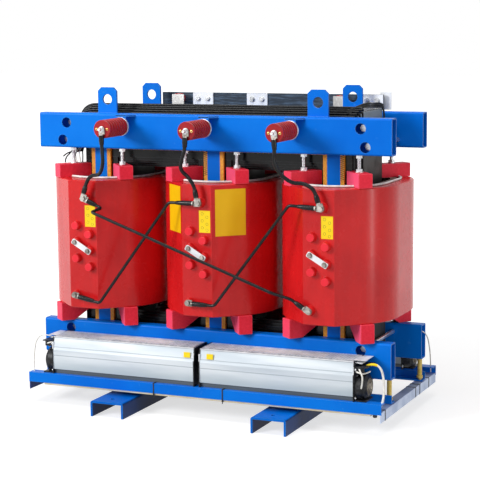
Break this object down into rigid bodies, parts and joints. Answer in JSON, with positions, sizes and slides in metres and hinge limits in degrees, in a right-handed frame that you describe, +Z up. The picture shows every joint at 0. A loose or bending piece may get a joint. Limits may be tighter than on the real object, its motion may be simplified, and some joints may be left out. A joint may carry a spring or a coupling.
{
  "type": "power transformer",
  "caption": "Three-phase dry-type transformer: resin-cast coils on a stepped core, clamped by box beams, on rails, with blower fans.",
  "frame": {"origin": "floor level, under the middle of the machine", "axes": "+X along the clamping beams from left to right, -Y to the high-voltage front, +Z up"},
  "size_m": [1.452, 0.88, 1.233],
  "materials": {
    "beam_blue": "gloss enamel over steel tube",
    "rail_blue": "gloss enamel over steel channel",
    "core_black": "varnished steel laminations",
    "insulation_orange": "glass-epoxy sheet",
    "resin_red": "cast epoxy resin",
    "lv_resin": "impregnated foil winding",
    "block_red": "moulded polyester",
    "zinc": "bright zinc",
    "edging_white": "soft edging",
    "insulator_red": "cast epoxy resin",
    "lead_black": "silicone sheath",
    "rod_black": "heat-shrink sleeve",
    "tinned": "tinned copper",
    "bus_slate": "dark insulating paint",
    "fan_sheet": "bright sheet",
    "black_sheet": "black sheet",
    "duct_beige": "duct",
    "galvanised": "galvanised"
  },
  "bodies": {
    "root": {"top_beam_front": "beam_blue", "top_beam_rear": "beam_blue", "bottom_beam_front": "beam_blue", "bottom_beam_rear": "beam_blue", "lifting_lug_front_left": "beam_blue", "lifting_lug_front_right": "beam_blue", "lifting_lug_rear_left": "beam_blue", "lifting_lug_rear_right": "beam_blue", "rail_left": "rail_blue", "rail_right": "rail_blue", "pedestals": "rail_blue", "tie_plates": "beam_blue", "core_top_yoke": "core_black", "core_bottom_yoke": "core_black", "core_legs": "core_black", "core_insulation": "insulation_orange", "hv_coil_left": "resin_red", "hv_coil_middle": "resin_red", "hv_coil_right": "resin_red", "lv_coil_left": "lv_resin", "lv_coil_middle": "lv_resin", "lv_coil_right": "lv_resin", "top_blocks": "block_red", "bottom_blocks": "block_red", "press_bolts": "zinc", "clamp_studs": "zinc", "edging_rings": "edging_white", "tap_links": "tinned", "insulator_brackets": "beam_blue", "hv_insulators": "insulator_red", "insulator_fittings": "zinc", "lead_lugs": "tinned", "rod_lugs": "tinned", "hv_lead_left": "lead_black", "hv_lead_middle": "lead_black", "hv_lead_right": "lead_black", "delta_rods": "rod_black", "terminal_bolts": "zinc", "lv_risers": "bus_slate", "bus_bar": "bus_slate", "lv_flags": "tinned", "bus_standoffs": "insulator_red", "standoff_angles": "tinned", "fan_front_left": "fan_sheet", "fan_front_right": "fan_sheet", "fan_rear_left": "fan_sheet", "fan_rear_right": "fan_sheet", "fan_ends": "black_sheet", "fan_motors": "black_sheet", "tray_front": "beam_blue", "tray_rear": "beam_blue", "tray_ends": "galvanised", "hanger_posts": "zinc", "cable_duct": "duct_beige"}
  },
  "joints": []
}
